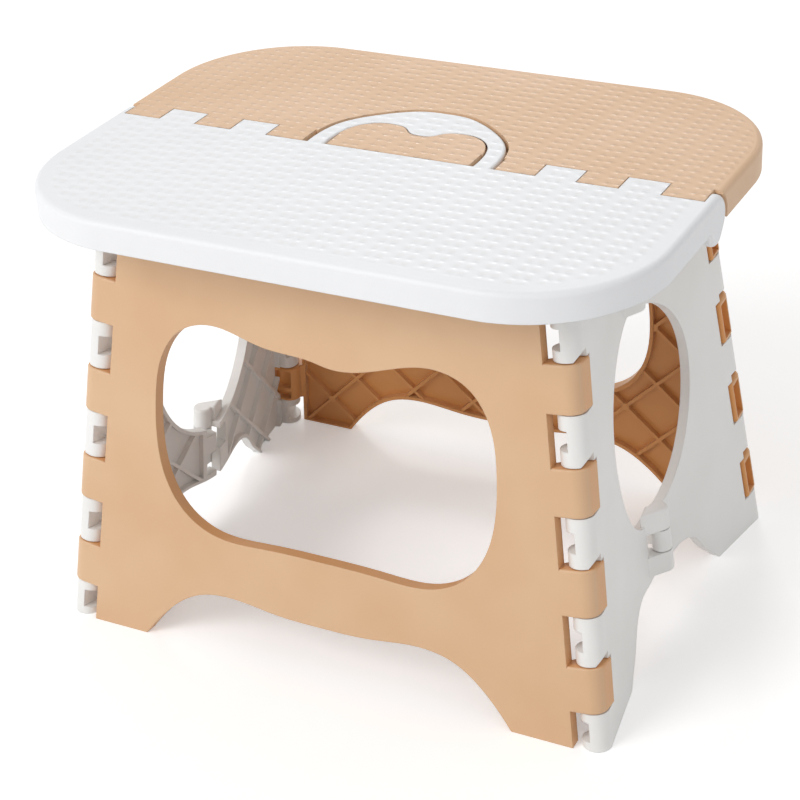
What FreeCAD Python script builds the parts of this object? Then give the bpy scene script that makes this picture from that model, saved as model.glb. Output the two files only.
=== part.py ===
import FreeCAD, Part
import math
import os
from FreeCAD import Placement, Rotation, Vector

# Folding step stool of moulded polypropylene: a seat in two halves, two long side panels and two
# ends of two halves each. X runs along the long side, Y across, Z up. The origin is on the floor
# below the middle of the seat.

doc = FreeCAD.newDocument("folding_stool")
sheet = doc.addObject("Spreadsheet::Sheet", "Sizes")

SIZES = [
    ("seat_height", 180.0, "floor to the top of the seat"),
    ("seat_length", 242.0, "seat along X"),
    ("seat_front", 94.5, "hinge line to the front edge of the seat"),
    ("seat_rear", 88.5, "hinge line to the rear edge of the seat"),
    ("seat_corner", 50.0, "radius of the seat's corners in plan"),
    ("skirt_drop", 11.0, "top of the seat to the bottom of its skirt"),
    ("skirt_wall", 2.4, "wall of the skirt"),
    ("deck_wall", 2.8, "thickness of the seat's deck"),
    ("edge_round", 2.2, "rounding of the seat's top edge"),
    ("seat_rib_wall", 1.6, "thickness of the ribs under the deck"),
    ("seat_rib_drop", 8.0, "top of the seat to the bottom of its ribs"),
    ("seat_rib_pitch", 30.0, "spacing of the ribs under the deck"),
    ("tooth_reach", 5.0, "how far the interlocking teeth cross the hinge line"),
    ("tooth_pitch", 15.7, "width of one tooth with its gap"),
    ("tooth_start", 39.0, "middle of the seat to the first tooth"),
    ("tooth_gap", 0.4, "gap between neighbouring teeth"),
    ("axle_height", 166.5, "floor to the centre axle"),
    ("axle_radius", 1.5, "radius of the three steel axles"),
    ("lug_radius", 4.2, "radius of the lugs round the axles"),
    ("run_gap", 0.08, "radial clearance of an axle or pin in its bore"),
    ("ear_radius", 8.5, "radius of the round ears at the ends of the hinge line"),
    ("ear_tip", 5.2, "radius of the ears' lower end, round the centre axle"),
    ("ear_width", 3.3, "thickness of the ears"),
    ("hoop_thickness", 4.0, "thickness of the handle hoop"),
    ("hoop_round", 1.0, "rounding of the hoop's top edges"),
    ("hoop_floor", 2.6, "floor of the recess under the handle hoop"),
    ("hoop_gap", 0.5, "gap between the hoop and the island inside it"),
    ("hoop_room", 1.1, "gap between the hoop and the recess round it"),
    ("hoop_half_width", 37.3, "middle to the outer side of the hoop"),
    ("hoop_reach", 37.0, "hinge line to the far side of the hoop"),
    ("grip_half_width", 30.0, "middle to the inner side of the hoop"),
    ("grip_reach", 20.6, "hinge line to the inner edge of the hoop"),
    ("grip_bulge", 13.8, "hinge line to the finger bulge of the hoop"),
    ("panel_foot", 87.0, "middle plane to the outer face of a long panel at the floor"),
    ("panel_tilt", 7.18, "lean of the long panels, degrees"),
    ("side_foot", 102.2, "middle to the panel's notch line at the floor"),
    ("side_angle", 6.8, "slope of the panel's sides, degrees"),
    ("panel_depth", 5.0, "depth of a long panel over its ribs"),
    ("panel_skin", 2.4, "outer skin of a long panel"),
    ("panel_rim", 1.5, "width of the rim round a panel's edges"),
    ("rib_wall", 1.5, "thickness of the lattice ribs"),
    ("lattice_pitch", 20.1, "spacing of the lattice ribs"),
    ("lattice_up", 72.5, "floor to a crossing of a panel's lattice, up the panel"),
    ("boss_radius", 1.8, "radius of the round bosses on some crossings"),
    ("barrel_radius", 6.0, "radius of the corner tabs round their pins"),
    ("barrel_gap", 0.35, "end gap between corner tabs and knuckles"),
    ("knuckle_radius", 5.3, "radius of the end halves' knuckles between the tabs"),
    ("tab_height", 18.0, "height of a corner tab"),
    ("tab_pitch", 37.5, "spacing of the corner tabs"),
    ("tab_top", 145.7, "top of the highest corner tab, up the corner axis"),
    ("tab_round", 5.2, "rounding of a tab where it turns the corner"),
    ("tab_edge", 0.8, "rounding of a tab's upper and lower edges"),
    ("tab_lip", 1.5, "rim round the pocket in a tab"),
    ("tab_bar", 2.0, "bar across the pocket on a tab's inner side"),
    ("pocket_floor", 0.6, "wall between a tab's pocket and its bore"),
    ("notch_width", 2.6, "width of the notch that a wall has above each tab"),
    ("notch_rise", 3.0, "height of that notch"),
    ("stub_radius", 2.5, "radius of the moulded corner pins"),
    ("stub_length", 6.0, "length of the moulded corner pins"),
    ("hinge_height", 168.1, "floor to the axles under the seat"),
    ("hinge_inset", 3.4, "outer face of a long panel to the axle in its top edge"),
    ("barrel_small", 3.2, "radius of the lugs on the axles under the seat"),
    ("hinge_lug", 12.0, "width of the lugs on the axles under the seat"),
    ("hinge_lug_gap", 0.5, "side gap between those lugs"),
    ("window_half_width", 69.8, "half width of a long panel's window"),
    ("window_low", 49.0, "floor to the window's lower edge, up the panel"),
    ("window_high", 134.3, "floor to the window's shoulders, up the panel"),
    ("window_dip", 7.0, "how far the window's upper edge dips in the middle"),
    ("arch_half_width", 78.5, "half width of the arch between a panel's feet"),
    ("arch_high", 25.0, "height of the arch's shoulders"),
    ("arch_dip", 3.0, "how far the arch dips in the middle"),
    ("end_wall", 4.0, "depth of an end half over its ribs"),
    ("end_skin", 1.8, "outer skin of an end half"),
    ("end_rim", 1.6, "width of the rim round an end half's edges"),
    ("end_cross_out", 23.6, "middle plane to a crossing of an end half's lattice"),
    ("end_cross_up", 35.4, "floor to that crossing"),
    ("end_top", 159.5, "floor to the top of the end halves"),
    ("end_vee", 7.5, "how far an end half turns inward of its hinge axes, degrees"),
    ("mid_foot", 106.1, "middle to the mid hinge axis at the floor"),
    ("mid_radius", 3.8, "radius of the mid hinge knuckles"),
    ("mid_low", 23.0, "floor to the lower mid hinge"),
    ("mid_high", 131.0, "floor to the upper mid hinge"),
    ("mid_length", 28.0, "length of each mid hinge"),
    ("mid_gap", 0.4, "end gap between mid hinge knuckles"),
    ("mid_round", 1.2, "rounding of a mid hinge's upper and lower ends"),
    ("mid_pad", 2.5, "full wall kept round a mid hinge"),
    ("mid_edge", 0.3, "set back of an end half's edge from the mid axis"),
    ("mid_relief", 6.2, "set back of the edge beside the other half's knuckles"),
    ("end_window_half", 37.3, "half width of the window that two end halves share"),
    ("end_window_low", 44.0, "floor to that window's lower edge"),
    ("end_window_high", 130.0, "floor to that window's upper edge"),
    ("end_arch_foot", 48.0, "middle plane to the inner tip of an end foot"),
    ("end_arch_high", 22.0, "height of the arch under an end"),
]
for row, (alias, value, note) in enumerate(SIZES, start=1):
    sheet.set("A%d" % row, alias)
    sheet.set("B%d" % row, str(value))
    sheet.set("C%d" % row, note)
    sheet.setAlias("B%d" % row, alias)
doc.recompute()


def size(alias):
    return float(sheet.get(alias))


def radians(alias):
    return math.radians(size(alias))


# Helpers that add one document object each.

def drive(obj, prop, value):
    """Set a length, by its expression where it has one."""
    if isinstance(value, str):
        obj.setExpression(prop, value)
    else:
        setattr(obj, prop, value)


def box(name, corner, extent):
    obj = doc.addObject("Part::Box", name)
    obj.Length, obj.Width, obj.Height = extent
    obj.Placement = Placement(Vector(*corner), Rotation())
    return obj


def cylinder(name, radius, height, base, turn=Rotation()):
    obj = doc.addObject("Part::Cylinder", name)
    drive(obj, "Radius", radius)
    drive(obj, "Height", height)
    obj.Placement = Placement(Vector(*base), turn)
    return obj


def outline(name, wires):
    obj = doc.addObject("Part::Feature", name)
    obj.Shape = Part.Face(wires)
    return obj


def extrusion(name, base, direction, length):
    obj = doc.addObject("Part::Extrusion", name)
    obj.Base = base
    obj.DirMode = "Custom"
    obj.Dir = direction
    drive(obj, "LengthFwd", length)
    obj.Solid = True
    return obj


def rounded(name, base, radius, wanted):
    """Fillet on the edges of a piece whose middle point is wanted."""
    base.recompute(True)
    obj = doc.addObject("Part::Fillet", name)
    obj.Base = base
    picked = []
    for number, edge in enumerate(base.Shape.Edges, start=1):
        middle = edge.valueAt((edge.FirstParameter + edge.LastParameter) / 2)
        if wanted(middle):
            picked.append((number, size(radius), size(radius)))
    obj.Edges = picked
    return obj


def fuse(name, shapes):
    obj = doc.addObject("Part::MultiFuse", name)
    obj.Shapes = shapes
    obj.Refine = True
    return obj


def cut(name, base, tool):
    obj = doc.addObject("Part::Cut", name)
    obj.Base = base
    obj.Tool = tool
    obj.Refine = True
    return obj


def common(name, shapes):
    obj = doc.addObject("Part::MultiCommon", name)
    obj.Shapes = shapes
    return obj


def together(name, shapes):
    """Separate shapes that are used as one tool."""
    obj = doc.addObject("Part::Compound", name)
    obj.Links = shapes
    return obj


def cut_each(name, base, tools):
    for i, tool in enumerate(tools):
        base = cut("%s_%d" % (name, i), base, tool)
    return base


def polygon(points):
    return Part.makePolygon([Vector(*p) for p in points + points[:1]])


def closed_curve(points):
    curve = Part.BSplineCurve()
    curve.interpolate(Points=[Vector(*p) for p in points], PeriodicFlag=True)
    return Part.Wire([curve.toShape()])


def open_curve(points):
    curve = Part.BSplineCurve()
    curve.interpolate(Points=[Vector(*p) for p in points])
    return curve.toShape()


# Frames. The panel frame lies in the outer face of the front panel: x along X, y inward, z up
# the panel. The corner frame turns it to the corner hinge axis. The end frame turns the corner
# frame so that y runs along the end half's wall.

TILT = radians("panel_tilt")
SIDE = radians("side_angle")
panel_place = Placement(Vector(0, -size("panel_foot"), 0), Rotation(Vector(1, 0, 0), -size("panel_tilt")))
corner_in_panel = Placement(
    Vector(size("side_foot") + size("barrel_radius"), size("barrel_radius"), 0),
    Rotation(Vector(0, 1, 0), -size("side_angle")),
)
corner_place = panel_place.multiply(corner_in_panel)
half_turn = Placement(Vector(0, 0, 0), Rotation(Vector(0, 0, 1), 180))

corner_foot = corner_place.Base
corner_axis = corner_place.Rotation.multVec(Vector(0, 0, 1))
apex_distance = -corner_foot.y / corner_axis.y
apex = corner_foot + corner_axis * apex_distance
mid_foot = Vector(size("mid_foot"), 0, 0)
mid_axis = (apex - mid_foot).normalize()
mid_in_corner = corner_place.inverse().multVec(mid_foot)
mid_bearing = math.degrees(math.atan2(mid_in_corner.x, mid_in_corner.y))
wall_bearing = size("end_vee") - mid_bearing
end_place = corner_place.multiply(Placement(Vector(0, 0, 0), Rotation(Vector(0, 0, 1), wall_bearing)))
world_to_end = end_place.inverse()
world_to_panel = panel_place.inverse()


def on_end_wall(y, z):
    """End-frame point of the wall's outer face that lies at the given world y and z."""
    near = world_to_end.multVec(Vector(0, y, z))
    step = world_to_end.Rotation.multVec(Vector(1, 0, 0))
    point = near + step * ((size("barrel_radius") - near.x) / step.x)
    return (size("barrel_radius"), point.y, point.z)


def mid_point(z):
    """End-frame point of the mid hinge axis at world height z."""
    world = mid_foot + mid_axis * (z / mid_axis.z)
    return world_to_end.multVec(world)


def floor_tool(name, placement):
    """Everything below the floor, seen from a piece with the given placement."""
    reach = size("seat_length")
    tool = box(name, (-reach, -reach, -reach), (2 * reach, 2 * reach, reach))
    tool.Placement = placement.inverse().multiply(tool.Placement)
    return tool


def tab_low(index):
    return size("tab_top") - index * size("tab_pitch") - size("tab_height")


TABS = range(4)

# The axle under each seat half.

hinge_up = (size("hinge_height") + size("hinge_inset") * math.sin(TILT)) / math.cos(TILT)
hinge_world = panel_place.multVec(Vector(0, size("hinge_inset"), hinge_up))
HINGE_OUT = -hinge_world.y
panel_top = hinge_up - size("barrel_small") - size("hinge_lug_gap")
top_half_width = size("side_foot") - size("barrel_gap") - hinge_up * math.tan(SIDE)
LUG_PITCH = 2 * (size("hinge_lug") + size("hinge_lug_gap"))
lug_pairs = int((top_half_width - size("hinge_lug")) // LUG_PITCH)
PANEL_LUGS = [i * LUG_PITCH for i in range(-lug_pairs, lug_pairs + 1)]
SEAT_LUGS = [x + LUG_PITCH / 2 for x in PANEL_LUGS[:-1]]
AXLE_HALF = PANEL_LUGS[-1] + size("hinge_lug") / 2


def mirrored(points):
    """Points of the right half, from the middle out, completed by their mirror images."""
    left = [(-x, y, z) for x, y, z in reversed(points) if x > 0]
    return left + points


def window_points(depth, inset):
    """Bone-shaped window of a long panel, grown by inset into the panel."""
    wide = size("window_half_width") + inset
    low = size("window_low") - inset
    high = size("window_high") + inset
    dip = size("window_dip")
    span = high - low
    upper = [(0, high - dip), (0.34 * wide, high - 0.65 * dip), (0.63 * wide, high - 0.02 * dip)]
    upper += [(0.82 * wide, high - 0.05 * span), (0.94 * wide, high - 0.18 * span)]
    side = [(0.992 * wide, low + 0.60 * span), (0.995 * wide, low + 0.45 * span)]
    lower = [(0.95 * wide, low + 0.24 * span), (0.82 * wide, low + 0.08 * span)]
    lower += [(0.66 * wide, low + 0.01 * span), (0.34 * wide, low), (0, low + 0.005 * span)]
    right = [(x, depth, z) for x, z in upper + side + lower]
    left = [(-x, y, z) for x, y, z in reversed(right[1:-1])]
    return right + left


def arch_points(depth, inset):
    """Arch between the feet, grown by inset into the panel."""
    wide = size("arch_half_width") + inset
    high = size("arch_high") + inset
    dip = size("arch_dip")
    right = [(0, high - dip), (0.25 * wide, high - 0.8 * dip), (0.5 * wide, high - 0.08 * dip)]
    right += [(0.68 * wide, 0.90 * high), (0.84 * wide, 0.56 * high), (wide, -0.04 * high)]
    return mirrored([(x, depth, z) for x, z in right])


def arch_wire(depth, inset):
    points = arch_points(depth, inset)
    below = -size("panel_depth") * 2
    first, last = points[0], points[-1]
    corners = [last, (last[0], depth, below), (first[0], depth, below), first]
    sides = [Part.makeLine(Vector(*a), Vector(*b)) for a, b in zip(corners, corners[1:])]
    return Part.Wire([open_curve(points)] + sides)


def panel_wire(depth, inset):
    """Tapered outline of a long panel, shrunk by inset."""
    slope = math.tan(SIDE)
    low_x = size("side_foot") - size("barrel_gap") - inset / math.cos(SIDE)
    low = -size("panel_depth") + (inset and inset + size("panel_depth"))
    high = panel_top - inset
    points = [(-low_x + low * slope, low), (low_x - low * slope, low)]
    points += [(low_x - high * slope, high), (-low_x + high * slope, high)]
    return polygon([(x, depth, z) for x, z in points])


def tab_section():
    """Cross-section of a corner tab in the corner frame, at z = 0."""
    r = size("barrel_radius")
    outer = size("tab_round")
    inner = 0.2 * r
    root = r + size("panel_rim")
    depth = size("panel_depth") - r
    corner = math.sqrt(0.5)
    edges = [
        Part.makeLine(Vector(-root, -r, 0), Vector(r - outer, -r, 0)),
        Part.Arc(Vector(r - outer, -r, 0), Vector(r - outer * (1 - corner), -r + outer * (1 - corner), 0),
                 Vector(r, outer - r, 0)).toShape(),
        Part.makeLine(Vector(r, outer - r, 0), Vector(r, r - inner, 0)),
        Part.Arc(Vector(r, r - inner, 0), Vector(r - inner * (1 - corner), r - inner * (1 - corner), 0),
                 Vector(r - inner, r, 0)).toShape(),
        Part.makeLine(Vector(r - inner, r, 0), Vector(0, r, 0)),
        Part.Arc(Vector(0, r, 0), Vector(-r * corner, r * corner, 0), Vector(-r, 0, 0)).toShape(),
        Part.makeLine(Vector(-r, 0, 0), Vector(-root, depth, 0)),
        Part.makeLine(Vector(-root, depth, 0), Vector(-root, -r, 0)),
    ]
    return Part.Wire(edges)


def tab_pockets(name, side):
    """Hollows of a tab that starts at z = 0: on its inner side, or in its end face."""
    r, lip, height = size("barrel_radius"), size("tab_lip"), size("tab_height")
    floor = size("stub_radius") + size("run_gap") + size("pocket_floor")
    if side < 0:
        return [box(name, (floor, -0.2 * r, lip), (r, 0.95 * r, height - 2 * lip))]
    bar_low = (height - size("tab_bar")) / 3
    bar_high = bar_low + size("tab_bar")
    spans = [(lip, bar_low), (bar_high, height - lip)]
    return [box("%s_%d" % (name, i), (-0.55 * r, floor, low), (1.3 * r, r, high - low))
            for i, (low, high) in enumerate(spans)]


def corner_tabs(name, side):
    """The four tabs of one panel corner; side is 1 on the right and -1 on the left."""
    pieces = []
    height = size("tab_height")
    for k in TABS:
        plain = extrusion("%s_tab%d" % (name, k), outline("%s_tab%d_section" % (name, k), [tab_section()]),
                          Vector(0, 0, 1), "Sizes.tab_height")
        soft = rounded("%s_soft%d" % (name, k), plain, "tab_edge",
                       lambda p: min(p.z, height - p.z) < 0.01 and p.y < -0.9 * size("barrel_radius"))
        bore = cylinder("%s_bore%d" % (name, k), "Sizes.stub_radius + Sizes.run_gap", "Sizes.tab_height * 2",
                        (0, 0, -height / 2))
        hollows = [bore] + tab_pockets("%s_pocket%d" % (name, k), side)
        tab = cut("%s_cut%d" % (name, k), soft, fuse("%s_tools%d" % (name, k), hollows))
        tab.Placement = Placement(Vector(0, 0, tab_low(k)), Rotation())
        pieces.append(tab)
    tabs = fuse(name, pieces)
    if side > 0:
        tabs.Placement = corner_in_panel
        return tabs
    flipped = doc.addObject("Part::Mirroring", name + "_left")
    tabs.Placement = corner_in_panel
    flipped.Source = tabs
    flipped.Normal = Vector(1, 0, 0)
    return flipped


def panel_barrels(name):
    """Barrels along the panel's top edge, round the axle under the seat."""
    pieces = []
    r = size("barrel_small")
    inset = size("hinge_inset")
    for i, x in enumerate(PANEL_LUGS):
        start = x - size("hinge_lug") / 2
        barrel = cylinder("%s_barrel%d" % (name, i), "Sizes.barrel_small", "Sizes.hinge_lug",
                          (start, inset, hinge_up), Rotation(Vector(0, 1, 0), 90))
        web = box("%s_web%d" % (name, i), (start, inset - r, panel_top - size("panel_depth")),
                  (size("hinge_lug"), r, hinge_up - panel_top + size("panel_depth")))
        pieces += [barrel, web]
    return pieces


def lattice(name, skin, depth, place):
    """Two sets of ribs that cross at 45 degrees behind a skin. The place has a crossing at its
    origin, x along the skin, y through it and z up."""
    pitch, wall = size("lattice_pitch"), size("rib_wall")
    count = int(1.5 * size("side_foot") / pitch)
    length = 2 * (count + 1) * pitch
    sets = []
    for letter, lean in (("a", 45), ("b", -45)):
        turned = place.multiply(Placement(Vector(0, 0, 0), Rotation(Vector(0, 1, 0), lean)))
        bars = []
        for i in range(-count, count + 1):
            bar = box("%s_bar_%s%d" % (name, letter, i + count), (-length / 2, skin - 0.2, i * pitch - wall / 2),
                      (length, depth - skin + 0.2, wall))
            bar.Placement = turned.multiply(bar.Placement)
            bars.append(bar)
        sets.append(together("%s_bars_%s" % (name, letter), bars))
    return sets


# Crossings of a panel's lattice that carry a boss, in steps along and up from the middle one.
BOSSES = [(3, -2), (2.5, 0.5), (2, -1)]


def panel_bosses(name):
    step = size("lattice_pitch") * math.sqrt(2)
    discs = []
    for i, (along, up) in enumerate(BOSSES):
        for side in (1, -1):
            base = (side * along * step, size("panel_skin") - 0.2, size("lattice_up") + up * step)
            discs.append(cylinder("%s_boss%d%s" % (name, i, "ab"[side < 0]), "Sizes.boss_radius",
                                  "Sizes.panel_depth - Sizes.panel_skin", base, Rotation(Vector(1, 0, 0), -90)))
    return together(name + "_bosses", discs)


def long_panel(name, label, placement):
    skin, depth, rim = size("panel_skin"), size("panel_depth"), size("panel_rim")
    plate = extrusion(name + "_plate", outline(name + "_face", [panel_wire(0, 0)]), Vector(0, 1, 0),
                      "Sizes.panel_depth")
    opening = extrusion(name + "_opening", outline(name + "_window", [closed_curve(window_points(0, 0))]),
                        Vector(0, 1, 0), "Sizes.panel_depth")
    arch = extrusion(name + "_arch", outline(name + "_arch_face", [arch_wire(0, 0)]), Vector(0, 1, 0),
                     "Sizes.panel_depth")
    hollow = extrusion(name + "_hollow", outline(name + "_inside", [panel_wire(skin, rim)]), Vector(0, 1, 0),
                       "Sizes.panel_depth")
    window_rim = extrusion(name + "_window_rim", outline(name + "_window_rim_face",
                           [closed_curve(window_points(0, rim))]), Vector(0, 1, 0), "Sizes.panel_depth * 2")
    arch_rim = extrusion(name + "_arch_rim", outline(name + "_arch_rim_face", [arch_wire(0, rim)]),
                         Vector(0, 1, 0), "Sizes.panel_depth * 2")
    crossing = Placement(Vector(0, 0, size("lattice_up")), Rotation())
    kept = [window_rim, arch_rim] + lattice(name, skin, depth - 0.4, crossing) + [panel_bosses(name)]
    shell = cut_each(name + "_shell", plate, [opening, arch, cut_each(name + "_cells", hollow, kept)])
    tabs = [corner_tabs(name + "_right", 1), corner_tabs(name + "_side", -1)]
    body = fuse(name + "_body", [shell] + tabs + panel_barrels(name))
    bore = cylinder(name + "_axle_bore", "Sizes.axle_radius", "Sizes.seat_length",
                    (-size("seat_length") / 2, size("hinge_inset"), hinge_up), Rotation(Vector(0, 1, 0), 90))
    floor = floor_tool(name + "_floor", panel_place)
    panel = cut(name, body, fuse(name + "_tools", [bore, floor]))
    panel.Label = label
    panel.Placement = placement
    return panel


# End halves. A half of kind A carries the outer knuckles of both mid hinges and a half of kind B
# the middle ones. Each is modelled for the front right corner, then mirrored where it belongs.

def knuckle_spans():
    spans = []
    top = size("end_top") / (math.cos(TILT) * math.cos(SIDE))
    highs = [top] + [tab_low(k) - size("barrel_gap") for k in TABS]
    lows = [tab_low(k) + size("tab_height") + size("barrel_gap") for k in TABS] + [-size("barrel_radius")]
    for low, high in zip(lows, highs):
        spans.append((low, high))
    return spans


def end_outline(inset):
    """Wall of an end half on its outer face: foot, arch, mid edge and top, shrunk by inset."""
    r = size("barrel_radius")
    foot, high, end_top = size("end_arch_foot") + inset, size("end_arch_high") + inset, size("end_top") - inset
    below = -2 * size("panel_depth")
    edge = size("mid_edge") + inset
    near = r if inset else 0
    low_mid = mid_point(high - 2)
    top_mid = mid_point(end_top)
    arch = [on_end_wall(-foot - 0.08 * foot, below), on_end_wall(-foot, 0)]
    arch += [on_end_wall(-0.80 * foot, 0.42 * high), on_end_wall(-0.64 * foot, 0.84 * high)]
    arch += [on_end_wall(-0.46 * foot, high), on_end_wall(-0.25 * foot, 0.95 * high)]
    arch += [(r, low_mid.y - edge, low_mid.z)]
    top = on_end_wall(corner_foot.y + end_top * corner_axis.y / corner_axis.z, end_top)
    start = (r, near, arch[0][2])
    corners = [arch[-1], (r, top_mid.y - edge, top_mid.z), (r, near, top[2]), start, arch[0]]
    sides = [Part.makeLine(Vector(*a), Vector(*b)) for a, b in zip(corners, corners[1:])]
    return Part.Wire([open_curve(arch)] + sides)


def end_window(grow):
    """Oval window that the two halves of an end share."""
    low, high = size("end_window_low") - grow, size("end_window_high") + grow
    half = size("end_window_half") + grow
    middle = (low + high) / 2 + 0.08 * (high - low)
    points = []
    for i in range(16):
        angle = math.pi / 8 * i
        reach = (high - middle) if math.sin(angle) > 0 else (middle - low)
        points.append(on_end_wall(half * math.cos(angle), middle + reach * math.sin(angle)))
    return closed_curve(points)


def mid_frame(z):
    """Frame on the mid axis at world height z: x outward, y away from the corner, z up the axis."""
    up = (mid_point(z + 1) - mid_point(z)).normalize()
    away = Vector(0, 1, 0)
    away = (away - up * away.dot(up)).normalize()
    return Placement(mid_point(z), Rotation(away.cross(up), away, up, "ZXY"))


def mid_levels():
    """Start and length, along the mid axis, of the three knuckles of one mid hinge."""
    share = size("mid_length") / 3
    return [(i * share, share) for i in range(3)]


def mid_knuckles(name, own):
    """Knuckles and webs at the levels in own, and the tools that free the other half's."""
    pieces, tools = [], []
    r = size("mid_radius")
    gap = size("mid_gap") / 2
    for hinge, height in (("low", size("mid_low")), ("high", size("mid_high"))):
        frame = mid_frame(height)
        sunk = size("barrel_radius") - frame.Base.x - size("end_skin") / 2
        foot = Vector(sunk, -2.4 * r, 0)
        touch = math.atan2(foot.y, foot.x) + math.acos(r / foot.Length)
        for level, (start, share) in enumerate(mid_levels()):
            tag = "%s_%s%d" % (name, hinge, level)
            if level in own:
                low = start + gap
                outer_end = low if level == 0 else low + share - 2 * gap
                knuckle = cylinder(tag, "Sizes.mid_radius", "Sizes.mid_length / 3 - Sizes.mid_gap", (0, 0, low))
                web_points = [(foot.x, foot.y, low), (r * math.cos(touch), r * math.sin(touch), low), (0, 0, low),
                              (sunk, -size("mid_edge") - 0.8, low)]
                web = extrusion(tag + "_web", outline(tag + "_web_face", [polygon(web_points)]),
                                Vector(0, 0, 1), "Sizes.mid_length / 3 - Sizes.mid_gap")
                if level != 1:
                    knuckle = rounded(tag + "_soft", knuckle, "mid_round", lambda p: abs(p.z - outer_end) < 0.01)
                    web = rounded(tag + "_web_soft", web, "mid_round",
                                  lambda p: abs(p.z - outer_end) < 0.01 and p.y < foot.y / 2)
                joined = fuse(tag + "_joined", [knuckle, web])
                joined.Placement = frame
                pieces.append(joined)
            else:
                relief = box(tag + "_relief", (-4 * r, -size("mid_relief"), start - gap),
                             (8 * r, 2 * r + size("mid_relief"), share + 2 * gap))
                relief.Placement = frame.multiply(relief.Placement)
                tools.append(relief)
    return pieces, tools


def end_hollow(name):
    """Room behind the skin of an end half, inside its rims and clear of its mid hinges, less the ribs."""
    wall, skin, rim = size("end_wall"), size("end_skin"), size("end_rim")
    room = extrusion(name + "_room", outline(name + "_room_face", [end_outline(rim)]), Vector(-1, 0, 0),
                     "Sizes.end_wall - Sizes.end_skin + 1")
    room.Placement = Placement(Vector(-skin, 0, 0), Rotation())
    kept = [extrusion(name + "_window_rim", outline(name + "_window_rim_face", [end_window(rim)]),
                      Vector(-1, 0, 0), "Sizes.end_wall * 2")]
    for hinge in ("low", "high"):
        r, back = size("mid_radius"), size("mid_relief") + size("mid_pad")
        pad = box("%s_pad_%s" % (name, hinge), (-4 * r, -back, -size("mid_pad")),
                  (8 * r, back + 2 * r, size("mid_length") + 2 * size("mid_pad")))
        pad.Placement = mid_frame(size("mid_" + hinge)).multiply(pad.Placement)
        kept.append(pad)
    crossing = Placement(Vector(*on_end_wall(-size("end_cross_out"), size("end_cross_up"))),
                         Rotation(Vector(1, 0, 0), size("panel_tilt")).multiply(Rotation(Vector(0, 0, 1), 90)))
    return cut_each(name + "_cells", room, kept + lattice(name, skin, wall, crossing))


def tab_notches(name):
    """Wedges that free the wall's outer corner above each tab."""
    r, width, rise = size("barrel_radius"), size("notch_width"), size("notch_rise")
    wedges = []
    for k in TABS:
        low = tab_low(k) + size("tab_height") + size("barrel_gap")
        points = [(r - width, -r, low - 0.1), (r + width, -r, low - 0.1), (r + width, -r, low + 2 * rise)]
        points.append((r - width, -r, low))
        wedges.append(extrusion("%s_notch%d" % (name, k), outline("%s_notch%d_face" % (name, k), [polygon(points)]),
                                Vector(0, 1, 0), "Sizes.barrel_radius * 1.5"))
    return wedges


def end_half(name, label, own, placement, mirror):
    r = size("barrel_radius")
    wall = extrusion(name + "_wall", outline(name + "_face", [end_outline(0)]), Vector(-1, 0, 0), "Sizes.end_wall")
    window = extrusion(name + "_window", outline(name + "_window_face", [end_window(0)]), Vector(-1, 0, 0),
                       "Sizes.end_wall")
    tab_room = []
    for k in TABS:
        room = box("%s_room%d" % (name, k), (-2 * r, -2 * r, tab_low(k) - size("barrel_gap")),
                   (4 * r, 3.1 * r, size("tab_height") + 2 * size("barrel_gap")))
        tab_room.append(room)
    knuckles, windows = [], []
    for k, (low, high) in enumerate(knuckle_spans()):
        knuckles.append(cylinder("%s_knuckle%d" % (name, k), "Sizes.knuckle_radius", high - low,
                                 (r - size("knuckle_radius"), 0, low)))
        notch = 0.42 * size("tab_height")
        middle = (max(low, 0) + high) / 2
        windows.append(box("%s_eye%d" % (name, k), (-2 * r, -2 * r, middle - notch / 2),
                           (2 * r - 0.1 * r, 4 * r, notch)))
    stubs = []
    for k in TABS:
        low = tab_low(k)
        sunk = size("barrel_gap") + 1
        lower = cylinder("%s_stub_low%d" % (name, k), "Sizes.stub_radius", "Sizes.stub_length + 1",
                         (0, 0, low - sunk))
        upper = cylinder("%s_stub_high%d" % (name, k), "Sizes.stub_radius", "Sizes.stub_length + 1",
                         (0, 0, low + size("tab_height") + sunk - size("stub_length") - 1))
        stubs += [lower, upper]
    pieces, tools = mid_knuckles(name, own)
    shell = cut_each(name + "_shell", wall, [end_hollow(name), window, fuse(name + "_tools", tab_room + tools)])
    barrels = cut(name + "_barrels", fuse(name + "_knuckles", knuckles), fuse(name + "_eyes", windows))
    body = fuse(name + "_body", [shell, barrels] + stubs + pieces)
    trims = fuse(name + "_trims", [floor_tool(name + "_floor", end_place)] + tab_notches(name))
    half = cut(name + "_half", body, trims)
    if mirror:
        half.Placement = end_place
        flipped = doc.addObject("Part::Mirroring", name)
        flipped.Source = half
        flipped.Normal = Vector(1, 0, 0)
        flipped.Label = label
        flipped.Placement = placement
        return flipped
    half.Label = label
    half.Placement = placement.multiply(end_place)
    return half


# Seat halves.

Z_TOP = size("seat_height")
Z_SKIRT = Z_TOP - size("skirt_drop")
Z_DECK = Z_TOP - size("deck_wall")
HALF_LENGTH = size("seat_length") / 2
GAP = size("tooth_gap")
TOOTH_EDGES = [size("tooth_start") + i * size("tooth_pitch") for i in range(6)]


def teeth(first):
    """Spans of every second tooth on the right, then on the left, with half the gap taken off."""
    spans = []
    for i in range(first, 5, 2):
        low, high = TOOTH_EDGES[i] + GAP / 2, TOOTH_EDGES[i + 1] - GAP / 2
        spans += [(low, high), (-high, -low)]
    return spans


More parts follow.
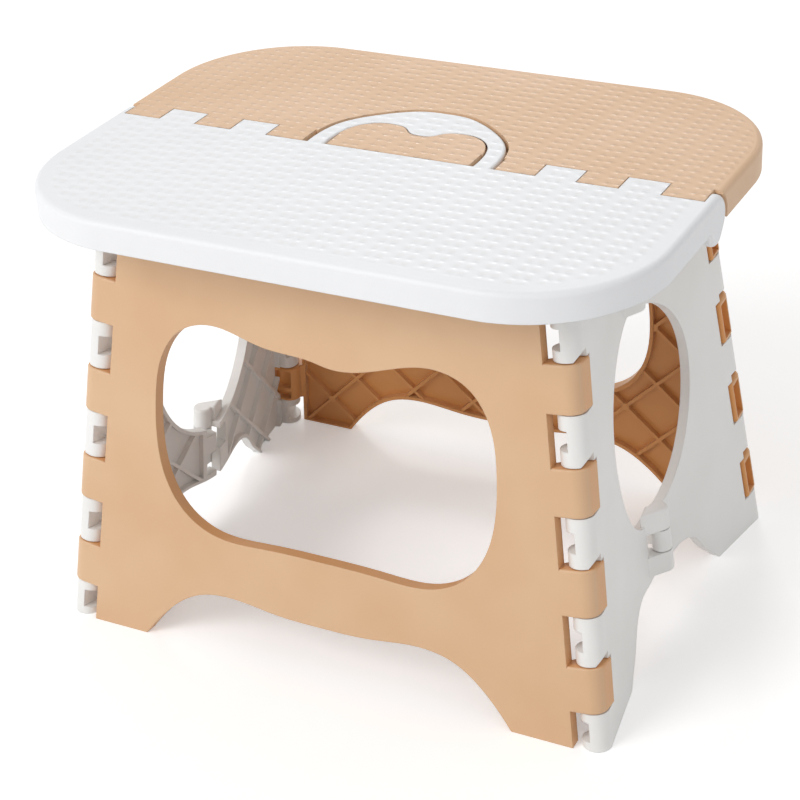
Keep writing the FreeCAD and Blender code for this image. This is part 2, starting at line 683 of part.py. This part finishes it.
def seat_wire(z, reach, inset, root):
    """Half of the seat's rounded outline towards -Y, cut straight at y = -root."""
    wide = HALF_LENGTH - inset
    front = reach - inset
    r = size("seat_corner") - inset
    k = r * (1 - math.sqrt(0.5))
    edges = [
        Part.makeLine(Vector(wide, -root, z), Vector(wide, -front + r, z)),
        Part.Arc(Vector(wide, -front + r, z), Vector(wide - k, -front + k, z), Vector(wide - r, -front, z)).toShape(),
        Part.makeLine(Vector(wide - r, -front, z), Vector(r - wide, -front, z)),
        Part.Arc(Vector(r - wide, -front, z), Vector(k - wide, -front + k, z), Vector(-wide, -front + r, z)).toShape(),
        Part.makeLine(Vector(-wide, -front + r, z), Vector(-wide, -root, z)),
        Part.makeLine(Vector(-wide, -root, z), Vector(wide, -root, z)),
    ]
    return Part.Wire(edges)


def tooth_profile(x):
    """Side view of a tooth with its lug round the centre axle, at the given x."""
    r, reach, z = size("lug_radius"), size("tooth_reach"), size("axle_height")
    back = reach + GAP + size("skirt_wall")
    edges = [
        Part.makeLine(Vector(x, -back, Z_TOP), Vector(x, reach, Z_TOP)),
        Part.makeLine(Vector(x, reach, Z_TOP), Vector(x, reach, Z_DECK)),
        Part.makeLine(Vector(x, reach, Z_DECK), Vector(x, r, z)),
        Part.Arc(Vector(x, r, z), Vector(x, 0, z - r), Vector(x, -r, z)).toShape(),
        Part.makeLine(Vector(x, -r, z), Vector(x, -back, Z_SKIRT)),
        Part.makeLine(Vector(x, -back, Z_SKIRT), Vector(x, -back, Z_TOP)),
    ]
    return Part.Wire(edges)


def seat_shell(name, reach):
    """Deck and skirt of a seat half on the -Y side, with its ribs and hinge lugs."""
    root = size("tooth_reach") + GAP
    block = extrusion(name + "_block", outline(name + "_plan", [seat_wire(Z_SKIRT, reach, 0, root)]),
                      Vector(0, 0, 1), "Sizes.skirt_drop")
    soft = rounded(name + "_soft", block, "edge_round", lambda p: p.z > Z_TOP - 0.01 and p.y < -root - 0.01)
    wall = size("skirt_wall")
    hollow = extrusion(name + "_hollow", outline(name + "_inside", [seat_wire(Z_SKIRT - 1, reach, wall, root + wall)]),
                       Vector(0, 0, 1), "Sizes.skirt_drop - Sizes.deck_wall + 1")
    shell = cut(name + "_shell", soft, hollow)
    ribs = []
    rib, drop, pitch = size("seat_rib_wall"), size("seat_rib_drop"), size("seat_rib_pitch")
    count = int(HALF_LENGTH // pitch)
    for i in range(-count, count + 1):
        ribs.append(box("%s_rib_x%d" % (name, i + count), (i * pitch - rib / 2, -reach, Z_TOP - drop),
                        (rib, reach - root, drop - size("deck_wall") / 2)))
    for i in range(1, int(reach // pitch) + 1):
        ribs.append(box("%s_rib_y%d" % (name, i), (-HALF_LENGTH, -i * pitch - rib / 2, Z_TOP - drop),
                        (2 * HALF_LENGTH, rib, drop - size("deck_wall") / 2)))
    inside = extrusion(name + "_rib_room", outline(name + "_rib_plan", [seat_wire(Z_SKIRT, reach, wall / 2, root)]),
                       Vector(0, 0, 1), "Sizes.skirt_drop - Sizes.deck_wall / 2")
    ribs = common(name + "_ribs", [fuse(name + "_rib_set", ribs), inside])
    lugs = []
    r = size("barrel_small")
    width = size("hinge_lug")
    for i, x in enumerate(SEAT_LUGS):
        barrel = cylinder("%s_lug%d" % (name, i), "Sizes.barrel_small", "Sizes.hinge_lug",
                          (x - width / 2, -HINGE_OUT, size("hinge_height")), Rotation(Vector(0, 1, 0), 90))
        post = box("%s_post%d" % (name, i), (x - width / 2, -HINGE_OUT - r, size("hinge_height")),
                   (width, 2 * r, Z_DECK + 0.5 - size("hinge_height")))
        lugs += [barrel, post]
    return [shell, ribs] + lugs


def seat_bores(name, centre_gap):
    long_way = Rotation(Vector(0, 1, 0), 90)
    centre = cylinder(name + "_centre_bore", "Sizes.axle_radius" + centre_gap,
                      "Sizes.seat_length - Sizes.ear_width * 2",
                      (size("ear_width") - HALF_LENGTH, 0, size("axle_height")), long_way)
    under = cylinder(name + "_under_bore", "Sizes.axle_radius + Sizes.run_gap", "Sizes.seat_length - 20",
                     (-HALF_LENGTH + 10, -HINGE_OUT, size("hinge_height")), long_way)
    return [centre, under]


def hoop_outer(z, grow):
    wide, reach = size("hoop_half_width") + grow, size("hoop_reach") + grow
    low = -size("tooth_reach") - GAP - size("skirt_wall")
    curve = [(0, reach), (0.24 * wide, 0.98 * reach), (0.47 * wide, 0.87 * reach), (0.70 * wide, 0.69 * reach)]
    curve += [(0.92 * wide, 0.41 * reach), (wide, 0.10 * reach), (wide, low)]
    return mirrored([(x, y, z) for x, y in curve])


def hoop_inner(z, shrink):
    wide = size("grip_half_width") - shrink
    reach, bulge = size("grip_reach") - shrink, size("grip_bulge") - shrink
    low = -size("tooth_reach") - GAP - size("skirt_wall")
    curve = [(0, bulge), (0.13 * wide, bulge + 0.10 * (reach - bulge)), (0.29 * wide, bulge + 0.78 * (reach - bulge))]
    curve += [(0.45 * wide, reach), (0.66 * wide, 0.97 * reach), (0.88 * wide, 0.74 * reach)]
    curve += [(0.985 * wide, 0.38 * reach), (wide, low)]
    return mirrored([(x, y, z) for x, y in curve])


def hoop_wire(z, outside, inside):
    """Plan of the handle hoop, grown by the gaps outside and inside it."""
    outer, inner = hoop_outer(z, outside), hoop_inner(z, inside)
    edges = [open_curve(outer), open_curve(inner)]
    edges.append(Part.makeLine(Vector(*outer[0]), Vector(*inner[0])))
    edges.append(Part.makeLine(Vector(*outer[-1]), Vector(*inner[-1])))
    return Part.Wire(Part.__sortEdges__(edges))


def hoop(name):
    """Handle hoop. Its inner side leans back below the top, so that it swings clear of the island."""
    low = Z_TOP - size("hoop_thickness")
    plain = extrusion(name, outline(name + "_plan", [hoop_wire(low, 0, 0)]), Vector(0, 0, 1), "Sizes.hoop_thickness")
    soft = rounded(name + "_soft", plain, "hoop_round",
                   lambda p: p.z > Z_TOP - 0.01 and abs(p.x) < 0.5 and p.y > size("grip_bulge") - 0.01)
    lean = (Z_TOP - size("axle_height")) / size("grip_bulge")
    inner = hoop_inner(low, 0)
    inside = Part.Wire([open_curve(inner), Part.makeLine(Vector(*inner[-1]), Vector(*inner[0]))])
    under = extrusion(name + "_under", outline(name + "_inside", [inside]), Vector(0, -lean, 1),
                      size("hoop_thickness") * math.hypot(lean, 1))
    under.Placement = Placement(Vector(0, lean * size("hoop_thickness"), 0), Rotation())
    return cut(name + "_leaned", soft, under)


def ear_wire(x):
    """Side view of an ear at the given x: level with the top, round, and narrower round the axle."""
    r, tip = size("ear_radius"), size("ear_tip")
    high, low = Z_TOP - r, size("axle_height")
    back = size("tooth_reach") + GAP + size("skirt_wall")

    def round_point(centre, radius, bearing):
        return Vector(x, radius * math.cos(bearing), centre + radius * math.sin(bearing))

    slope = -math.asin((r - tip) / (high - low))
    corner = Vector(x, -back, Z_SKIRT)
    touch = math.atan2(Z_SKIRT - low, -back) + math.acos(tip / math.hypot(Z_SKIRT - low, back)) - 2 * math.pi
    edges = [
        Part.makeLine(Vector(x, -back, Z_TOP), Vector(x, 0, Z_TOP)),
        Part.Arc(Vector(x, 0, Z_TOP), round_point(high, r, math.pi / 4 + slope / 2), round_point(high, r, slope)).toShape(),
        Part.makeLine(round_point(high, r, slope), round_point(low, tip, slope)),
        Part.Arc(round_point(low, tip, slope), round_point(low, tip, (slope + touch) / 2),
                 round_point(low, tip, touch)).toShape(),
        Part.makeLine(round_point(low, tip, touch), corner),
        Part.makeLine(corner, Vector(x, -back, Z_TOP)),
    ]
    return Part.Wire(edges)


def ear(name, side):
    start = HALF_LENGTH - size("ear_width") if side > 0 else -HALF_LENGTH
    plain = extrusion(name, outline(name + "_side", [ear_wire(start)]), Vector(1, 0, 0), "Sizes.ear_width")
    back = size("tooth_reach") + GAP + size("skirt_wall")
    return rounded(name + "_soft", plain, "edge_round",
                   lambda p: abs(p.x - side * HALF_LENGTH) < 0.01 and p.y > 0.01 - back)


def ear_room(name, side):
    """Room that an ear needs in the rear half."""
    start = HALF_LENGTH - size("ear_width") - GAP if side > 0 else -HALF_LENGTH
    return cylinder(name, "Sizes.ear_radius + Sizes.tooth_gap", "Sizes.ear_width + Sizes.tooth_gap",
                    (start, 0, Z_TOP - size("ear_radius")), Rotation(Vector(0, 1, 0), 90))


def front_seat():
    name = "front_seat"
    pieces = seat_shell(name, size("seat_front"))
    for i, (low, high) in enumerate(teeth(1)):
        tooth = extrusion("%s_tooth%d" % (name, i), outline("%s_tooth%d_side" % (name, i), [tooth_profile(low)]),
                          Vector(1, 0, 0), "Sizes.tooth_pitch - Sizes.tooth_gap")
        pieces.append(tooth)
    pieces += [ear("%s_ear%s" % (name, "ab"[side < 0]), side) for side in (1, -1)]
    pieces.append(hoop(name + "_hoop"))
    body = fuse(name + "_body", pieces)
    seat = cut(name, body, fuse(name + "_bores", seat_bores(name, "")))
    seat.Label = "seat_front_half"
    return seat


def rear_seat():
    """Built on the -Y side, then turned by half a turn about Z."""
    name = "rear_seat"
    pieces = seat_shell(name, size("seat_rear"))
    for i, (low, high) in enumerate(teeth(0)):
        tooth = extrusion("%s_tooth%d" % (name, i), outline("%s_tooth%d_side" % (name, i), [tooth_profile(low)]),
                          Vector(1, 0, 0), "Sizes.tooth_pitch - Sizes.tooth_gap")
        pieces.append(tooth)
    grip = size("grip_half_width") - 2 * size("hoop_gap")
    reach, root = size("tooth_reach"), size("tooth_reach") + GAP + size("skirt_wall")
    pieces.append(box(name + "_island_tooth", (-grip, -root, Z_DECK), (2 * grip, root + reach, size("deck_wall"))))
    lug_width = size("hinge_lug")
    for side in (1, -1):
        start = side * (grip - lug_width / 2) - lug_width / 2
        lug = extrusion("%s_inner_lug%d" % (name, side + 1),
                        outline("%s_inner_lug%d_side" % (name, side + 1), [tooth_profile(start)]),
                        Vector(1, 0, 0), "Sizes.hinge_lug")
        pieces.append(lug)
    # The block under and inside the hoop, as wide as the hoop with a wall round it.
    floor_top = Z_TOP - size("hoop_thickness") - size("hoop_gap")
    block_low = floor_top - size("hoop_floor")
    wide = size("hoop_half_width") + size("hoop_room") + size("skirt_wall")
    deep = size("hoop_reach") + size("hoop_room") + size("skirt_wall")
    pieces.append(box(name + "_hoop_block", (-wide, -deep, block_low),
                      (2 * wide, deep - size("tooth_reach") - GAP, Z_TOP - size("edge_round") - block_low)))
    recess_plan = outline(name + "_recess_plan", [hoop_wire(floor_top, size("hoop_room"), size("hoop_gap"))])
    recess = extrusion(name + "_recess", recess_plan, Vector(0, 0, 1), "Sizes.hoop_thickness + Sizes.hoop_gap + 1")
    recess.Placement = half_turn
    rooms = [ear_room("%s_ear_room_%s" % (name, "ab"[side < 0]), side) for side in (1, -1)]
    tools = [recess] + seat_bores(name, " + Sizes.run_gap") + rooms
    seat = cut(name, fuse(name + "_body", pieces), fuse(name + "_cuts", tools))
    seat.Label = "seat_rear_half"
    seat.Placement = half_turn
    return seat


def axle(name, label, half_length, y, z):
    rod = doc.addObject("Part::Cylinder", name)
    rod.setExpression("Radius", "Sizes.axle_radius")
    rod.Height = 2 * half_length
    rod.Label = label
    rod.Placement = Placement(Vector(-half_length, y, z), Rotation(Vector(0, 1, 0), 90))
    return rod


pieces = [
    long_panel("panel_front", "front_panel", panel_place),
    long_panel("panel_rear", "rear_panel", half_turn.multiply(panel_place)),
    end_half("end_fr", "end_front_right", (0, 2), Placement(), False),
    end_half("end_rl", "end_rear_left", (0, 2), half_turn, False),
    end_half("end_fl", "end_front_left", (1,), Placement(), True),
    end_half("end_rr", "end_rear_right", (1,), half_turn, True),
    front_seat(),
    rear_seat(),
    axle("axle_centre", "centre_axle", HALF_LENGTH - size("ear_width") - GAP, 0, size("axle_height")),
    axle("axle_front", "front_axle", AXLE_HALF, -HINGE_OUT, size("hinge_height")),
    axle("axle_rear", "rear_axle", AXLE_HALF, HINGE_OUT, size("hinge_height")),
]
# The whole moves so that the origin lies below the middle of the seat.
centring = Placement(Vector(0, (size("seat_front") - size("seat_rear")) / 2, 0), Rotation())
for piece in pieces:
    piece.Placement = centring.multiply(piece.Placement)
doc.recompute()

print("hinge out %.4f" % HINGE_OUT, "panel top %.2f" % panel_top, "axle half %.2f" % AXLE_HALF)
print("apex", apex, "mid axis", mid_axis, "corner axis", corner_axis, "corner foot", corner_foot)
print("mid axis outside the wall", [round(mid_point(z).x - size("barrel_radius"), 2) for z in (23, 51, 131, 159)])
for obj in doc.Objects:
    if "Invalid" in obj.State or "Error" in obj.State:
        raise RuntimeError("%s failed: %s" % (obj.Name, obj.State))
os.makedirs("parts", exist_ok=True)
for piece in pieces:
    shape = piece.Shape
    if shape.isNull() or not shape.isValid():
        raise RuntimeError("%s has no valid shape" % piece.Label)
    print(piece.Label, "solids", len(shape.Solids), "volume %.0f" % shape.Volume, shape.BoundBox)
    shape.exportStep("parts/%s.step" % piece.Label)
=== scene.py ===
# %% [markdown]
# # A folding step stool in two colours of plastic
# The stool was drawn in CAD and packed as a model with named parts. This lesson loads that model,
# gives every part its finish, and sets up the floor, the light and the camera. It adds no shapes.

# %% Load the stool
import bmesh
import bpy
import math
from mathutils import Matrix, Vector

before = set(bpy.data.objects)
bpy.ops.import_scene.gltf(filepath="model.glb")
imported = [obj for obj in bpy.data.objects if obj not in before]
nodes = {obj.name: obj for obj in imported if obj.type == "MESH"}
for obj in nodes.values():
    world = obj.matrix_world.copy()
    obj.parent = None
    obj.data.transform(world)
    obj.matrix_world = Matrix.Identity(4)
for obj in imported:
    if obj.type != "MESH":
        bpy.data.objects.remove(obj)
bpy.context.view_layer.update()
print("loaded", sorted(nodes))

# %% [markdown]
# Sizes are easier to read in millimetres, and colours as the hex codes of a colour picker.
# Blender works in metres and in linear light, so two small functions convert them.

# %% Units and colours
MM = 0.001


def linear(hex_code):
    """Linear RGBA of an sRGB hex colour."""
    channels = [int(hex_code[i:i + 2], 16) / 255 for i in (1, 3, 5)]
    return [c / 12.92 if c <= 0.04045 else ((c + 0.055) / 1.055) ** 2.4 for c in channels] + [1.0]


TAN = "#DFB993"
TAN_SHADE = "#DAB18A"
print("tan in linear light", [round(c, 3) for c in linear(TAN)])

# %% [markdown]
# A material is a graph of nodes. One helper adds a node, sets its values and links its inputs,
# so each recipe below reads from top to bottom. A value that is a socket becomes a link.

# %% One helper for nodes


def node(material, kind, settings=None, **inputs):
    """Add a node. Inputs are named with _ for spaces, or in_0, in_1 for a position."""
    made = material.node_tree.nodes.new("ShaderNode" + kind)
    for key, value in (settings or {}).items():
        setattr(made, key, value)
    for key, value in inputs.items():
        socket = made.inputs[int(key[3:])] if key.startswith("in_") else made.inputs[key.replace("_", " ")]
        if isinstance(value, bpy.types.NodeSocket):
            material.node_tree.links.new(value, socket)
        else:
            socket.default_value = value
    return made


def new_material(name):
    """An empty material with a Principled shader, which are both returned."""
    material = bpy.data.materials.new(name)
    material.use_nodes = True
    material.node_tree.nodes.clear()
    shader = node(material, "BsdfPrincipled")
    node(material, "OutputMaterial", Surface=shader.outputs["BSDF"])
    return material, shader


def math_of(material, operation, a, b=0.0, c=0.0):
    """The output of one Math node."""
    return node(material, "Math", {"operation": operation}, in_0=a, in_1=b, in_2=c).outputs[0]


# %% [markdown]
# The stool is injection-moulded polypropylene. The mould is spark-eroded, which leaves a fine
# pebbled skin that softens the gloss. Real pebbles are about 0.3 mm across; they are drawn coarser
# so that they show. The walls sink a little where ribs stand behind them, so a broad, shallow wave
# runs over them. No moulded edge is sharp: a Bevel node bends the normals over half a millimetre,
# which catches the light without any new faces.

# %% Moulded polypropylene
EDGE_SOFTNESS = 0.45 * MM
PEBBLE = 0.8 * MM
PEBBLE_HEIGHT = 0.04 * MM
PEBBLE_STRENGTH = 0.35
SINK_WAVE = 11 * MM
SINK_HEIGHT = 0.22 * MM
DRIFT_PATCH = 38 * MM
PLASTIC_IOR = 1.49


def blend(material, share, first, second):
    """The output of a colour Mix: the first colour at share 0, the second at 1."""
    return node(material, "Mix", {"data_type": "RGBA"}, in_0=share, in_6=first, in_7=second).outputs[2]


def moulded_plastic(name, colour, shade, roughness):
    """Fine pebbled plastic. The colour drifts a little towards the shade."""
    material, shader = new_material(name)
    place = node(material, "TexCoord").outputs["Object"]
    flow = node(material, "TexNoise", Vector=place, Scale=1 / DRIFT_PATCH, Detail=2.0)
    pebble = node(material, "TexNoise", Vector=place, Scale=1 / PEBBLE, Detail=2.0)
    drift = node(material, "MapRange", Value=flow.outputs["Fac"], in_1=0.35, in_2=0.65)
    mixed = blend(material, drift.outputs[0], linear(colour), linear(shade))
    rough = node(material, "MapRange", Value=pebble.outputs["Fac"], in_1=0.3, in_2=0.7,
                 in_3=roughness - 0.05, in_4=roughness + 0.07)
    upright = node(material, "Mapping", Vector=place, Scale=(1, 1, 0.2))
    sink = node(material, "TexNoise", Vector=upright.outputs[0], Scale=1 / SINK_WAVE, Detail=1.0)
    edge = node(material, "Bevel", {"samples": 4}, Radius=EDGE_SOFTNESS)
    waved = node(material, "Bump", Height=sink.outputs["Fac"], Strength=1.0, Distance=SINK_HEIGHT,
                 Normal=edge.outputs["Normal"])
    bump = node(material, "Bump", Height=pebble.outputs["Fac"], Strength=PEBBLE_STRENGTH,
                Distance=PEBBLE_HEIGHT, Normal=waved.outputs["Normal"])
    links = material.node_tree.links
    links.new(mixed, shader.inputs["Base Color"])
    links.new(rough.outputs[0], shader.inputs["Roughness"])
    links.new(bump.outputs[0], shader.inputs["Normal"])
    shader.inputs["IOR"].default_value = PLASTIC_IOR
    return material, shader, bump


white_plastic, _, _ = moulded_plastic("white polypropylene, pebbled", "#F2F1EF", "#EDECE9", 0.40)
print("made", white_plastic.name)

# %% [markdown]
# In the photo the inner sides of the tan panels are much deeper and warmer than the outer ones.
# The plastic is most likely one colour, but the render's own light does not make them as deep.
# So a painted warm shade, for the light that bounces between tan walls, deepens the tan on faces
# that look towards the middle of the stool. In Object coordinates those are the faces whose
# normal points against their own Y.

# %% Tan polypropylene with a painted warm shade on its inner faces
# The deeper tan is painted warm shade, not a second colour of plastic.
PAINTED_SHADE_TAN = "#DE9C5C"
FACING_BLUR = 0.35
tan_plastic, tan_shader, _ = moulded_plastic("tan polypropylene, pebbled, painted shade on inner faces", TAN, TAN_SHADE, 0.42)
coordinates = node(tan_plastic, "TexCoord")
side = node(tan_plastic, "SeparateXYZ", Vector=coordinates.outputs["Object"]).outputs["Y"]
facing = node(tan_plastic, "SeparateXYZ", Vector=coordinates.outputs["Normal"]).outputs["Y"]
outward = math_of(tan_plastic, "MULTIPLY", facing, math_of(tan_plastic, "SIGN", side))
# Painted warm shade: faces that look towards the middle of the stool get the deeper tan.
painted_shade_share = node(tan_plastic, "MapRange", Value=outward, in_1=FACING_BLUR, in_2=-FACING_BLUR)
plain = tan_shader.inputs["Base Color"].links[0].from_socket
tan_with_painted_shade = blend(tan_plastic, painted_shade_share.outputs[0], plain, linear(PAINTED_SHADE_TAN))
tan_plastic.node_tree.links.new(tan_with_painted_shade, tan_shader.inputs["Base Color"])
print("made", tan_plastic.name)

# %% [markdown]
# The seat's top copies a wicker weave: strands run along the seat and pass over two stakes, then
# under two, and each row is half a step further on. A cosine along the seat times a cosine across
# it gives that staggered field of lens shapes. A finer cosine adds the dip between stakes. The
# crests are glossier than the hollows, and the hollows are tinted, which stands in for the shade
# in them. A smooth band runs round the edge, so the pattern fades out near the outline.

# %% Woven seat top
SEAT_HALF = Vector((121.0, 91.5)) * MM
SEAT_CORNER = 50 * MM
STAKE_PITCH = 5.2 * MM
FADE = 1.5 * MM
TOP_LEVEL = (179.7 * MM, 179.95 * MM)
HOLLOW_DEPTH = 0.4
STAKE_DIP = 0.36
HOLLOW_ROUGHNESS = 0.50
# The hollows of the weave get a painted shade: a darker brown mixed into their colour.
HOLLOW_PAINTED_SHADE = "#9C8468"
HOLLOW_PAINTED_SHADE_SHARE = 0.10


def woven_top(name, colour, shade, roughness, row_pitch, relief, band):
    """Moulded plastic with a raised weave where the surface faces up at seat height."""
    material, shader, grain_bump = moulded_plastic(name, colour, shade, roughness)
    place = node(material, "TexCoord").outputs["Object"]
    xyz = node(material, "SeparateXYZ", Vector=place)
    x, y, z = xyz.outputs

    def wave(value, period):
        return math_of(material, "COSINE", math_of(material, "MULTIPLY", value, 2 * math.pi / period))

    lens = math_of(material, "MULTIPLY", wave(x, 4 * STAKE_PITCH), wave(y, 2 * row_pitch))
    stakes = wave(math_of(material, "ADD", x, STAKE_PITCH / 2), STAKE_PITCH)
    crest = math_of(material, "MAXIMUM", lens, math_of(material, "MULTIPLY", lens, HOLLOW_DEPTH))
    ripple = math_of(material, "MULTIPLY_ADD", stakes, STAKE_DIP, 1 - STAKE_DIP)
    weave = math_of(material, "MULTIPLY", crest, ripple)
    over_x = math_of(material, "SUBTRACT", math_of(material, "ABSOLUTE", x), SEAT_HALF.x - SEAT_CORNER)
    over_y = math_of(material, "SUBTRACT", math_of(material, "ABSOLUTE", y), SEAT_HALF.y - SEAT_CORNER)
    corner_x = math_of(material, "MAXIMUM", over_x)
    corner_y = math_of(material, "MAXIMUM", over_y)
    square_y = math_of(material, "MULTIPLY", corner_y, corner_y)
    square = math_of(material, "MULTIPLY_ADD", corner_x, corner_x, square_y)
    outward = math_of(material, "SQRT", square)
    inward = math_of(material, "SUBTRACT", SEAT_CORNER, outward)
    woven = node(material, "MapRange", Value=inward, in_1=band, in_2=band + FADE)
    level = node(material, "MapRange", Value=z, in_1=TOP_LEVEL[0], in_2=TOP_LEVEL[1])
    mask = math_of(material, "MULTIPLY", woven.outputs[0], level.outputs[0])
    height = math_of(material, "MULTIPLY", weave, mask)
    links = material.node_tree.links
    bump = node(material, "Bump", Height=height, Strength=1.0, Distance=relief,
                Normal=grain_bump.outputs[0])
    links.new(bump.outputs[0], shader.inputs["Normal"])
    polish = node(material, "MapRange", Value=height, in_1=0.15, in_2=0.75,
                  in_3=HOLLOW_ROUGHNESS, in_4=roughness)
    links.new(polish.outputs[0], shader.inputs["Roughness"])
    # Painted shade in the hollows: the lower the weave dips, the more of the darker brown.
    hollow = node(material, "MapRange", Value=height, in_1=-0.35, in_2=0.10,
                  in_3=HOLLOW_PAINTED_SHADE_SHARE, in_4=0.0)
    plain = shader.inputs["Base Color"].links[0].from_socket
    shaded = blend(material, hollow.outputs[0], plain, linear(HOLLOW_PAINTED_SHADE))
    links.new(shaded, shader.inputs["Base Color"])
    return material


# The tan top is drawn paler and less saturated than the tan panels of the same plastic: painted sheen from
# the light on the top.
tan_woven = woven_top("tan polypropylene, woven top", "#E3BF9D", "#DFB994", roughness=0.22,
                      row_pitch=2.5 * MM, relief=0.37 * MM, band=3 * MM)
white_woven = woven_top("white polypropylene, woven top", "#F2F3F5", "#F0F1F3", roughness=0.27,
                        row_pitch=2.84 * MM, relief=0.26 * MM, band=6 * MM)
print("made", tan_woven.name, "and", white_woven.name)

# %% [markdown]
# The axles are drawn steel wire, cut to length: a plain bright metal with fine lines along it.

# %% Drawn steel
axle_steel, steel_shader = new_material("steel wire, drawn")
steel_place = node(axle_steel, "TexCoord").outputs["Object"]
steel_stretch = node(axle_steel, "Mapping", Vector=steel_place, Scale=(20, 900, 900))
steel_lines = node(axle_steel, "TexNoise", Vector=steel_stretch.outputs[0], Scale=4.0, Detail=2.0)
steel_rough = node(axle_steel, "MapRange", Value=steel_lines.outputs["Fac"], in_3=0.22, in_4=0.42)
axle_steel.node_tree.links.new(steel_rough.outputs[0], steel_shader.inputs["Roughness"])
steel_shader.inputs["Base Color"].default_value = linear("#C3C5C8")
steel_shader.inputs["Metallic"].default_value = 1.0
print("made", axle_steel.name)

# %% [markdown]
# Each CAD part keeps its shape and gets its finish by filling its material slots.

# %% Dress the CAD parts
FINISHES = {
    "seat_front_half": white_woven,
    "seat_rear_half": tan_woven,
    "front_panel": tan_plastic,
    "rear_panel": tan_plastic,
    "end_front_right": white_plastic,
    "end_front_left": white_plastic,
    "end_rear_right": white_plastic,
    "end_rear_left": white_plastic,
    "centre_axle": axle_steel,
    "front_axle": axle_steel,
    "rear_axle": axle_steel,
}
for part, finish in FINISHES.items():
    slots = nodes[part].material_slots
    if not slots:
        nodes[part].data.materials.append(finish)
    for slot in slots:
        slot.material = finish
    print(part, "is", finish.name)

# %% [markdown]
# The backdrop is white paper. Light Path tells which rays come from the camera, or from a shiny
# surface: only those see the extra glow that lifts the paper to white, so the stool gets no more
# light from it. The paper under the glow is plain matt paper, which keeps the stool's soft shadow.

# %% Floor and backdrop


def seen_only(material):
    """1 for rays from the camera or from a shiny or clear surface, otherwise 0."""
    rays = node(material, "LightPath")
    shiny = math_of(material, "MAXIMUM", rays.outputs["Is Glossy Ray"], rays.outputs["Is Transmission Ray"])
    return math_of(material, "MAXIMUM", rays.outputs["Is Camera Ray"], shiny)


FLOOR_RADIUS = 6.0
PAPER_GLOW = 0.30
mesh = bmesh.new()
bmesh.ops.create_circle(mesh, cap_ends=True, segments=96, radius=FLOOR_RADIUS)
floor_mesh = bpy.data.meshes.new("floor")
mesh.to_mesh(floor_mesh)
mesh.free()
floor = bpy.data.objects.new("floor", floor_mesh)
bpy.context.scene.collection.objects.link(floor)
floor_paper, floor_shader = new_material("white paper backdrop")
floor_shader.inputs["Base Color"].default_value = linear("#F4F4F4")
floor_shader.inputs["Roughness"].default_value = 0.9
floor_shader.inputs["Specular IOR Level"].default_value = 0.0
floor_shader.inputs["Emission Color"].default_value = linear("#FFFFFF")
glow = math_of(floor_paper, "MULTIPLY", seen_only(floor_paper), PAPER_GLOW)
floor_paper.node_tree.links.new(glow, floor_shader.inputs["Emission Strength"])
floor_mesh.materials.append(floor_paper)
print("floor radius", FLOOR_RADIUS, "m")

# %% [markdown]
# A small lamp behind the stool glints on the crests of the weave. A broad, soft key from the
# front left lights the front panel, and a weak fill the right side. The pale world lights the
# rest evenly, as in a product photograph, and shows white to the camera.

# %% Light
WORLD_LIGHT = 0.58
STOOL_MIDDLE = Vector((0, 0, 0.09))
world = bpy.data.worlds.new("pale studio")
bpy.context.scene.world = world
world.use_nodes = True
seen = seen_only(world)
strength = node(world, "MapRange", Value=seen, in_3=WORLD_LIGHT, in_4=1.0)
background = world.node_tree.nodes["Background"]
background.inputs["Color"].default_value = linear("#FFFFFF")
world.node_tree.links.new(strength.outputs[0], background.inputs["Strength"])


def soft_lamp(name, place, size, power):
    """A square area lamp that points at the middle of the stool."""
    lamp = bpy.data.lights.new(name, "AREA")
    lamp.size = size
    lamp.energy = power
    holder = bpy.data.objects.new(name, lamp)
    bpy.context.scene.collection.objects.link(holder)
    holder.location = place
    aim = STOOL_MIDDLE - Vector(place)
    holder.rotation_euler = aim.to_track_quat("-Z", "Y").to_euler()
    print(name, "of", power, "W")


soft_lamp("key lamp", (-0.75, -1.35, 1.2), 0.9, 14.5)
soft_lamp("back lamp", (-0.55, 1.1, 1.2), 0.35, 3.6)
soft_lamp("fill lamp", (1.4, -0.7, 0.9), 1.0, 1.0)

# %% [markdown]
# The camera stands where the photographer's stood. Its place, its three angles and its lens
# came from fitting a perspective view to the stool's edges. The shift moves the frame sideways
# without turning the camera.

# %% Camera
CAMERA_PLACE = Vector((333.08, -624.28, 476.30)) * MM
YAW, PITCH, ROLL = 0.49234, 0.51659, -0.05463
FOCAL_PX = 2096.36
CENTRE_PX = (408.55, 404.86)
FRAME_PX = 800
SENSOR_MM = 36

forward = Vector((-math.sin(YAW) * math.cos(PITCH), math.cos(YAW) * math.cos(PITCH), -math.sin(PITCH)))
level_right = Vector((math.cos(YAW), math.sin(YAW), 0))
level_up = level_right.cross(forward)
right = level_right * math.cos(ROLL) + level_up * math.sin(ROLL)
up = level_up * math.cos(ROLL) - level_right * math.sin(ROLL)
lens = bpy.data.cameras.new("camera")
lens.sensor_width = SENSOR_MM
lens.lens = FOCAL_PX * SENSOR_MM / FRAME_PX
lens.shift_x = (FRAME_PX / 2 - CENTRE_PX[0]) / FRAME_PX
lens.shift_y = (CENTRE_PX[1] - FRAME_PX / 2) / FRAME_PX
camera = bpy.data.objects.new("camera", lens)
bpy.context.scene.collection.objects.link(camera)
turn = Matrix((right, up, -forward)).transposed()
camera.matrix_world = Matrix.Translation(CAMERA_PLACE) @ turn.to_4x4()
bpy.context.scene.camera = camera
bpy.context.scene.view_settings.view_transform = "Standard"
print("lens", round(lens.lens, 1), "mm")
